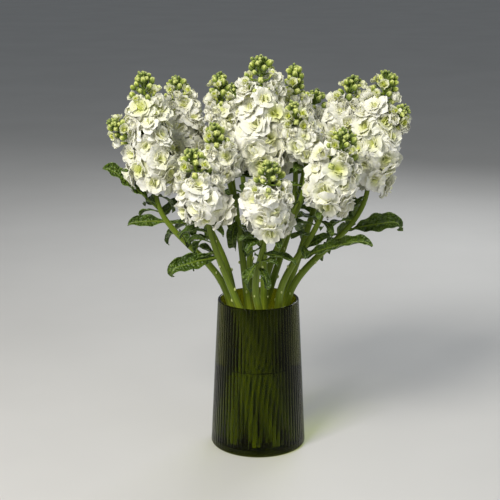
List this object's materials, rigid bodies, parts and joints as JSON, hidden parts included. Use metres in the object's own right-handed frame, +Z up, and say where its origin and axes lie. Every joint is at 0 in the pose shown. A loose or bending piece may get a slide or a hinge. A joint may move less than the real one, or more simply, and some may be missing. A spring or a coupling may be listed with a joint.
{
  "type": "stock flowers in a glass vase",
  "caption": "Bunch of double white stock with leafy stems and green bud tips, standing in water in a tapered, ribbed, dark green glass vase.",
  "frame": {"origin": "centre of the vase's flat base, on the surface it stands on", "axes": "+Z up along the vase's axis, -Y towards the camera of the picture, +X to the picture's right"},
  "size_m": [0.3823, 0.2658, 0.52],
  "materials": {
    "glass": "dark olive-green ribbed glass, polished",
    "water": "clear still water",
    "stem": "green stems, leaves and buds",
    "petal": "soft white petals, matt"
  },
  "bodies": {
    "root": {"vase": "glass", "water": "water", "stem_01": "stem", "stem_02": "stem", "stem_03": "stem", "stem_04": "stem", "stem_05": "stem", "stem_06": "stem", "stem_07": "stem", "stem_08": "stem", "stem_09": "stem", "stem_10": "stem", "stem_11": "stem", "stem_12": "stem", "bloom_01": "petal", "bloom_02": "petal", "bloom_03": "petal", "bloom_04": "petal", "bloom_05": "petal", "bloom_06": "petal", "bloom_07": "petal", "bloom_08": "petal", "bloom_09": "petal", "bloom_10": "petal", "bloom_11": "petal", "bloom_12": "petal", "bloom_13": "petal", "bloom_14": "petal"}
  },
  "joints": []
}
